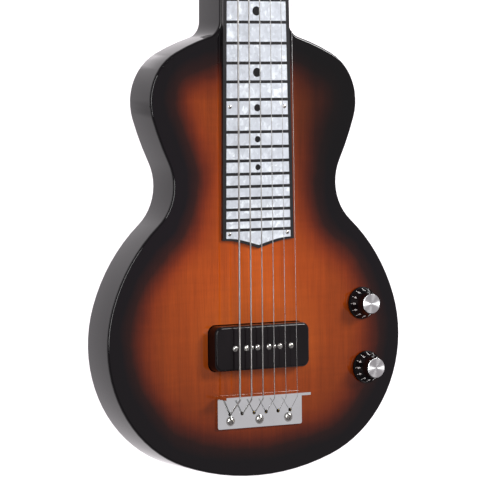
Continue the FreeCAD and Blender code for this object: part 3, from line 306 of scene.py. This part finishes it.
def woven_finish(name, colour):
    """Braided cloth over a hookup wire."""
    made, tree, shader = new_material(name)
    varied(tree, shader, colour, 0.4, 900.0, 0.8, 0.1)
    weave = add(tree, "ShaderNodeTexVoronoi", Vector=place_of(tree), Scale=1600.0).outputs["Distance"]
    bump(tree, shader, weave, 8e-5)
    return made


def wound_coil_finish(name, colour):
    """Enamelled copper wire laid side by side."""
    made, tree, shader = new_material(name, Metallic=0.8)
    varied(tree, shader, colour, 0.3, 300.0, 0.35, 0.1)
    layers = add(tree, "ShaderNodeTexWave", {"bands_direction": "Z"}, Vector=place_of(tree), Scale=1500.0)
    bump(tree, shader, layers.outputs["Fac"], 3e-5)
    return made


NICKEL = (0.60, 0.59, 0.56)
STEEL = (0.62, 0.62, 0.62)
FINISHES = {
    "black_board": gloss_plastic("board_lacquer", (0.012, 0.012, 0.013), 0.22, coat=0.4),
    "pearloid": pearloid_finish("board_pearl", (0.655, 0.695, 0.755)),
    "dot_black": gloss_plastic("dot_lacquer", (0.008, 0.008, 0.009), 0.2),
    "nickel_screw": plain_finish("screw_nickel", NICKEL, 1.0, 0.17, 1e-6, 300.0),
    "nut_steel": brushed_finish("nut_steel_bar", STEEL, 0.2, "X"),
    "wound_string": string_finish("string_winding", (0.40, 0.395, 0.385), 0.00034),
    "plain_string": string_finish("string_steel", (0.43, 0.425, 0.42)),
    "brass_ball": plain_finish("ball_brass", (0.62, 0.42, 0.16), 1.0, 0.3, 3e-6, 400.0),
    "bridge_chrome": brushed_finish("bridge_plating", (0.96, 1.0, 1.0), 0.065, "X", 1e-7),
    "pickup_black": gloss_plastic("pickup_shell", (0.007, 0.005, 0.006), 0.15, shine=0.26),
    "bobbin_plastic": plain_finish("bobbin_moulding", (0.02, 0.02, 0.02), 0.0, 0.45, 1e-5, 200.0),
    "coil_copper": wound_coil_finish("coil_wire", (0.45, 0.17, 0.07)),
    "magnet": plain_finish("magnet_alloy", (0.16, 0.16, 0.17), 0.7, 0.5, 4e-5, 150.0),
    "baseplate": plain_finish("baseplate_tin", (0.45, 0.45, 0.44), 1.0, 0.35, 5e-6, 120.0),
    "knob_black": gloss_plastic("knob_moulding", (0.005, 0.005, 0.006), 0.16, shine=0.2),
    "steel_shaft": plain_finish("shaft_steel", STEEL, 1.0, 0.3, 3e-6, 200.0),
    "pot_steel": plain_finish("pot_can", (0.50, 0.50, 0.48), 1.0, 0.34, 6e-6, 120.0),
    "capacitor_body": plain_finish("capacitor_wax", (0.42, 0.25, 0.10), 0.0, 0.45, 2e-5, 200.0, coat=0.3),
    "wire_cloth": woven_finish("wire_braid", (0.38, 0.33, 0.22)),
    "jack_nickel": plain_finish("jack_plating", NICKEL, 1.0, 0.2, 3e-6, 200.0),
    "cover_plastic": gloss_plastic("cover_sheet", (0.012, 0.012, 0.012), 0.3, 8e-6),
    "tuner_nickel": plain_finish("tuner_plating", (0.58, 0.57, 0.54), 1.0, 0.24, 4e-6, 120.0),
    "gear_brass": plain_finish("gear_metal", (0.60, 0.41, 0.16), 1.0, 0.32, 5e-6, 260.0),
    "button_pearl": pearloid_finish("button_celluloid", (0.78, 0.76, 0.66)),
}
for node in NODES.values():
    for index, old in enumerate(node.data.materials):
        if old and old.name in FINISHES:
            node.data.materials[index] = FINISHES[old.name]


# ---------------------------------------------------------------- mesh helpers

def welded(node):
    """Copy of a CAD node's mesh with its split corners joined again."""
    shape = bmesh.new()
    shape.from_mesh(NODES[node].data)
    bmesh.ops.remove_doubles(shape, verts=shape.verts, dist=1e-6)
    return shape


def piece_from(shape, name, material, body, smooth=math.radians(32)):
    """New piece from a bmesh, riding on a CAD body."""
    mesh = bpy.data.meshes.new(name)
    shape.to_mesh(mesh)
    shape.free()
    for layer in ("custom_normal", "sharp_edge", "sharp_face"):
        if layer in mesh.attributes:
            mesh.attributes.remove(mesh.attributes[layer])
    mesh.materials.clear()
    mesh.materials.append(material)
    mesh.polygons.foreach_set("material_index", [0] * len(mesh.polygons))
    mesh.shade_smooth()
    mesh.set_sharp_from_angle(angle=smooth)
    piece = bpy.data.objects.new(name, mesh)
    bpy.context.scene.collection.objects.link(piece)
    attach(piece, body)
    return piece


def islands(node):
    """Boxes (low, high) of the separate solids in a CAD node."""
    shape = welded(node)
    left = set(shape.verts)
    boxes = []
    for first in shape.verts:
        if first not in left:
            continue
        left.discard(first)
        reached = [first]
        stack = [first]
        while stack:
            for edge in stack.pop().link_edges:
                for vert in edge.verts:
                    if vert in left:
                        left.discard(vert)
                        reached.append(vert)
                        stack.append(vert)
        corners = np.array([vert.co for vert in reached])
        boxes.append((Vector(corners.min(0)), Vector(corners.max(0))))
    shape.free()
    return boxes


def prism(shape, outline, bottom, top, taper, centre):
    """Closed tapered prism on a flat outline, narrower by taper at its bottom."""
    low = [shape.verts.new((centre[0] + x * taper, centre[1] + y * taper, bottom)) for x, y in outline]
    high = [shape.verts.new((centre[0] + x, centre[1] + y, top)) for x, y in outline]
    shape.faces.new(low[::-1])
    shape.faces.new(high)
    for index in range(len(outline)):
        following = (index + 1) % len(outline)
        shape.faces.new((low[index], low[following], high[following], high[index]))


def turned_outline(points, angle):
    """Outline turned about its origin."""
    c, s = math.cos(angle), math.sin(angle)
    return [(c * x - s * y, s * x + c * y) for x, y in points]


def cross_outline(reach, half):
    """Cross-shaped recess of that reach and half width."""
    return [(-reach, -half), (-half, -half), (-half, -reach), (half, -reach), (half, -half), (reach, -half),
            (reach, half), (half, half), (half, reach), (-half, reach), (-half, half), (-reach, half)]


def slot_outline(reach, half):
    """Straight slot of that reach and half width."""
    return [(-reach, -half), (reach, -half), (reach, half), (-reach, half)]


def temporary_object(shape, name):
    """Object made from a bmesh, to be used up by a boolean."""
    mesh = bpy.data.meshes.new(name)
    shape.to_mesh(mesh)
    shape.free()
    made = bpy.data.objects.new(name, mesh)
    bpy.context.scene.collection.objects.link(made)
    return made


def cut_away(shape, tool):
    """Bmesh of a shape after a tool bmesh is cut from it."""
    base = temporary_object(shape, "base")
    cutter = temporary_object(tool, "cutter")
    cut = base.modifiers.new("recess", "BOOLEAN")
    cut.operation = "DIFFERENCE"
    cut.solver = "EXACT"
    cut.object = cutter
    bpy.context.view_layer.update()
    made = bpy.data.meshes.new_from_object(base.evaluated_get(bpy.context.evaluated_depsgraph_get()))
    result = bmesh.new()
    result.from_mesh(made)
    meshes = [base.data, cutter.data, made]
    for spare in (base, cutter):
        bpy.data.objects.remove(spare)
    for spare in meshes:
        bpy.data.meshes.remove(spare)
    return result


def driven_screws(node, name, outline, depth, from_below=False):
    """Screws of a CAD node with the driver recess cut in each head, each turned a little further."""
    tool = bmesh.new()
    for count, (low, high) in enumerate(islands(node)):
        centre = ((low.x + high.x) / 2, (low.y + high.y) / 2)
        marks = turned_outline(outline, math.radians(20.0 + 37.0 * count))
        if from_below:
            prism(tool, [(x, -y) for x, y in marks][::-1], low.z - 1 * MM, low.z + depth, 1.0, centre)
        else:
            prism(tool, marks, high.z - depth, high.z + 1 * MM, 0.55, centre)
    bmesh.ops.recalc_face_normals(tool, faces=tool.faces)
    piece = piece_from(cut_away(welded(node), tool), name, FINISHES["nickel_screw"], NODE_BODY[node])
    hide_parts(node)


# ---------------------------------------------------------------- body

def outer_outline(node, level):
    """Points about half a millimetre apart round the outside of a slab, cut at one height."""
    shape = welded(node)
    everything = shape.verts[:] + shape.edges[:] + shape.faces[:]
    bmesh.ops.bisect_plane(shape, geom=everything, plane_co=(0, 0, level), plane_no=(0, 0, 1),
                           clear_inner=True, clear_outer=True)
    unused = set(shape.edges)
    loops = []
    for edge in shape.edges:
        if edge not in unused:
            continue
        unused.discard(edge)
        chain = [edge.verts[0], edge.verts[1]]
        step = edge
        while step:
            step = next((other for other in chain[-1].link_edges if other in unused), None)
            if step:
                unused.discard(step)
                chain.append(step.other_vert(chain[-1]))
        loops.append([vert.co.copy() for vert in chain])
    shape.free()
    longest = max(loops, key=lambda loop: max(p.y for p in loop) - min(p.y for p in loop))
    dense = []
    for start, end in zip(longest, longest[1:]):
        count = max(1, int((end - start).length / (0.5 * MM)))
        dense += [start.lerp(end, part / count) for part in range(count)]
    return dense


def cut_into_cells(shape, pitch):
    """Cuts the level faces of a slab into cells of that pitch."""
    corners = np.array([vert.co for vert in shape.verts])
    for axis in (0, 1):
        direction = Vector((1, 0, 0)) if axis == 0 else Vector((0, 1, 0))
        for place in np.arange(corners[:, axis].min() + pitch, corners[:, axis].max(), pitch):
            level = [face for face in shape.faces if abs(face.normal.z) > 0.999]
            verts = list(dict.fromkeys(vert for face in level for vert in face.verts))
            edges = list(dict.fromkeys(edge for face in level for edge in face.edges))
            bmesh.ops.bisect_plane(shape, geom=verts + edges + level,
                                   plane_co=direction * float(place), plane_no=direction)


def make_body():
    """Lacquered slab with the distance from its rim stored for the sunburst."""
    rim = outer_outline("body", 28 * MM)
    tree = kdtree.KDTree(len(rim))
    for index, point in enumerate(rim):
        tree.insert((point.x, point.y, 0.0), index)
    tree.balance()
    shape = welded("body")
    cut_into_cells(shape, 7 * MM)
    distances = [tree.find((vert.co.x, vert.co.y, 0.0))[2] / MM for vert in shape.verts]
    piece = piece_from(shape, "sunburst_slab", sunburst_finish(), "root", math.radians(28))
    layer = piece.data.attributes.new("edge_mm", "FLOAT", "POINT")
    layer.data.foreach_set("value", distances)
    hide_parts("body")


# ---------------------------------------------------------------- knob numerals

DIAL_SPAN = 280.0
DIAL_MARKS = 11
SKIRT_FOOT = (11.7 * MM, 2.0 * MM)
SKIRT_BROW = (9.0 * MM, 7.6 * MM)
PAINT_RISE = 0.045 * MM
NUMERAL_HEIGHT = 2.5 * MM
TICK_SIZE = (0.42 * MM, 1.2 * MM, 0.1 * MM)


def paint_finish():
    """White paint of the knobs' numerals."""
    made, tree, shader = new_material("numeral_paint")
    varied(tree, shader, (0.90, 0.90, 0.88), 0.15, 900.0, 0.5, 0.1)
    bump(tree, shader, noise(tree, 3000.0), 4e-6)
    return made


def numeral_mesh(text, height):
    """Flat mesh of a numeral with its middle on the origin."""
    curve = bpy.data.curves.new("numeral", "FONT")
    curve.body = text
    curve.size = height * 1.35
    curve.extrude = 0.05 * MM
    curve.offset = 0.07 * MM
    curve.align_x = "CENTER"
    curve.align_y = "CENTER"
    curve.resolution_u = 3
    holder = bpy.data.objects.new("numeral", curve)
    bpy.context.scene.collection.objects.link(holder)
    bpy.context.view_layer.update()
    mesh = bpy.data.meshes.new_from_object(holder.evaluated_get(bpy.context.evaluated_depsgraph_get()))
    bpy.data.objects.remove(holder)
    bpy.data.curves.remove(curve)
    return mesh


def skirt_places(name, rise):
    """Places of the marks round the slope of a knob's skirt, that far up the slope."""
    low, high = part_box(f"{name}_knob")
    centre = (low + high) / 2
    foot = Vector(SKIRT_FOOT) + Vector((0.0, low.z))
    brow = Vector(SKIRT_BROW) + Vector((0.0, low.z))
    slope = (brow - foot).normalized()
    outward = Vector((slope.y, -slope.x))
    where = foot + slope * rise + outward * PAINT_RISE
    for number in range(DIAL_MARKS):
        angle = math.radians(180.0 - DIAL_SPAN / 2 + DIAL_SPAN * number / (DIAL_MARKS - 1))
        radial = Vector((math.cos(angle), math.sin(angle), 0.0))
        up = Vector((radial.x * slope.x, radial.y * slope.x, slope.y))
        face = Vector((radial.x * outward.x, radial.y * outward.x, outward.y))
        place = Matrix((up.cross(face), up, face)).transposed().to_4x4()
        place.translation = (centre.x + radial.x * where.x, centre.y + radial.y * where.x, where.y)
        yield place


def make_numerals(name, paint):
    """Numerals nought to ten and their tick marks on a knob's skirt."""
    shape = bmesh.new()
    for number, place in enumerate(skirt_places(name, 3.2 * MM)):
        mesh = numeral_mesh(str(number), NUMERAL_HEIGHT)
        mesh.transform(place)
        shape.from_mesh(mesh)
        bpy.data.meshes.remove(mesh)
    for place in skirt_places(name, 0.75 * MM):
        tick = bmesh.ops.create_cube(shape, size=1.0)["verts"]
        bmesh.ops.scale(shape, verts=tick, vec=TICK_SIZE)
        bmesh.ops.transform(shape, verts=tick, matrix=place)
    piece = piece_from(shape, f"{name}_numerals", paint, f"{name}_control")


# ---------------------------------------------------------------- stage

def make_floor():
    """Wide pale floor just under the guitar."""
    shape = bmesh.new()
    bmesh.ops.create_grid(shape, x_segments=1, y_segments=1, size=30.0)
    mesh = bpy.data.meshes.new("floor")
    shape.to_mesh(mesh)
    shape.free()
    floor = bpy.data.objects.new("floor", mesh)
    floor.location.z = min(0.0, CAD_BOUNDS[0][2]) - 0.0005
    bpy.context.scene.collection.objects.link(floor)
    pale, tree, shader = new_material("floor_paper", Roughness=0.9, Emission_Color=(1.0, 0.95, 0.985),
                                      Emission_Strength=1.17)
    varied(tree, shader, (0.26, 0.26, 0.26), 0.02, 3.0, 0.9, 0.05)
    mesh.materials.append(pale)


def make_light(name, direction, distance, width, depth, power, aim):
    """Soft light of that width and depth, aimed from a direction."""
    data = bpy.data.lights.new(name, "AREA")
    data.shape = "RECTANGLE"
    data.size = width
    data.size_y = depth
    data.energy = power
    light = bpy.data.objects.new(name, data)
    light.location = aim + Vector(direction).normalized() * distance
    light.rotation_euler = (light.location - aim).to_track_quat("Z", "Y").to_euler()
    bpy.context.scene.collection.objects.link(light)


def make_world():
    """Soft studio surroundings: bright low down, dimmer overhead."""
    world = bpy.data.worlds.new("studio")
    bpy.context.scene.world = world
    world.use_nodes = True
    tree = world.node_tree
    direction = add(tree, "ShaderNodeTexCoord").outputs["Generated"]
    height = add(tree, "ShaderNodeSeparateXYZ", Vector=direction).outputs["Z"]
    sky = ramp(tree, height, (0.0, 1.0), (0.05, 0.80), (0.18, 0.30), (0.60, 0.22), (1.0, 0.20))
    toward = add(tree, "ShaderNodeVectorMath", {"operation": "DOT_PRODUCT"})
    tree.links.new(direction, toward.inputs[0])
    toward.inputs[1].default_value = Vector((0.517, -0.05, 0.855)).normalized()
    panel = ramp(tree, toward.outputs["Value"], (0.86, 0.0), (0.97, 0.285))
    light = mixed(tree, 1.0, mixed(tree, 1.0, sky, panel, "ADD"), (1.0, 0.945, 0.985), "MULTIPLY")
    tree.links.new(light, tree.nodes["Background"].inputs["Color"])


def make_camera():
    """Long lens above the bass side, looking down and a little towards the treble side."""
    data = bpy.data.cameras.new("camera")
    data.sensor_width = 36.0
    data.lens = 204.7
    data.clip_end = 100.0
    camera = bpy.data.objects.new("camera", data)
    right = Vector((0.8554, -0.01055, 0.51787)).normalized()
    back = Vector((-0.51671, 0.05253, 0.85455)).normalized()
    up = back.cross(right).normalized()
    right = up.cross(back)
    place = Matrix((right, up, back)).transposed().to_4x4()
    place.translation = Vector((-1.1321, -0.1108, 1.8947))
    camera.matrix_world = place
    bpy.context.scene.collection.objects.link(camera)
    bpy.context.scene.camera = camera


make_body()
driven_screws("bridge_screws", "bridge_screw_heads", cross_outline(2.3 * MM, 0.5 * MM), 1.6 * MM)
driven_screws("board_screws", "board_screw_heads", cross_outline(1.3 * MM, 0.33 * MM), 0.9 * MM)
driven_screws("pickup_screws", "pickup_screw_heads", cross_outline(1.0 * MM, 0.28 * MM), 0.7 * MM)
driven_screws("pole_screws", "pole_screw_heads", slot_outline(3.0 * MM, 0.38 * MM), 0.8 * MM)
driven_screws("cover_screws", "cover_screw_heads", cross_outline(1.4 * MM, 0.35 * MM), 1.0 * MM, True)
driven_screws("tuner_screws", "tuner_screw_heads", slot_outline(1.9 * MM, 0.3 * MM), 0.6 * MM, True)
numeral_paint = paint_finish()
for control in ("volume", "tone"):
    cap_low, cap_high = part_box(f"{control}_knob_cap")
    spun = spun_finish(f"{control}_cap_metal", (0.76, 0.76, 0.765), (cap_low + cap_high) / 2)
    NODES[f"{control}_knob_cap"].data.materials[0] = spun
    make_numerals(control, numeral_paint)

make_world()
make_floor()
AIM = Vector((0.0, -0.22, 0.033))
make_light("key_light", (0.62, 0.42, 0.66), 1.7, 0.45, 0.45, 21.0, AIM)
make_light("top_light", (-0.30, 0.16, 0.93), 1.8, 1.1, 0.40, 16.0, AIM)
make_camera()
bpy.context.scene.view_settings.view_transform = "Standard"
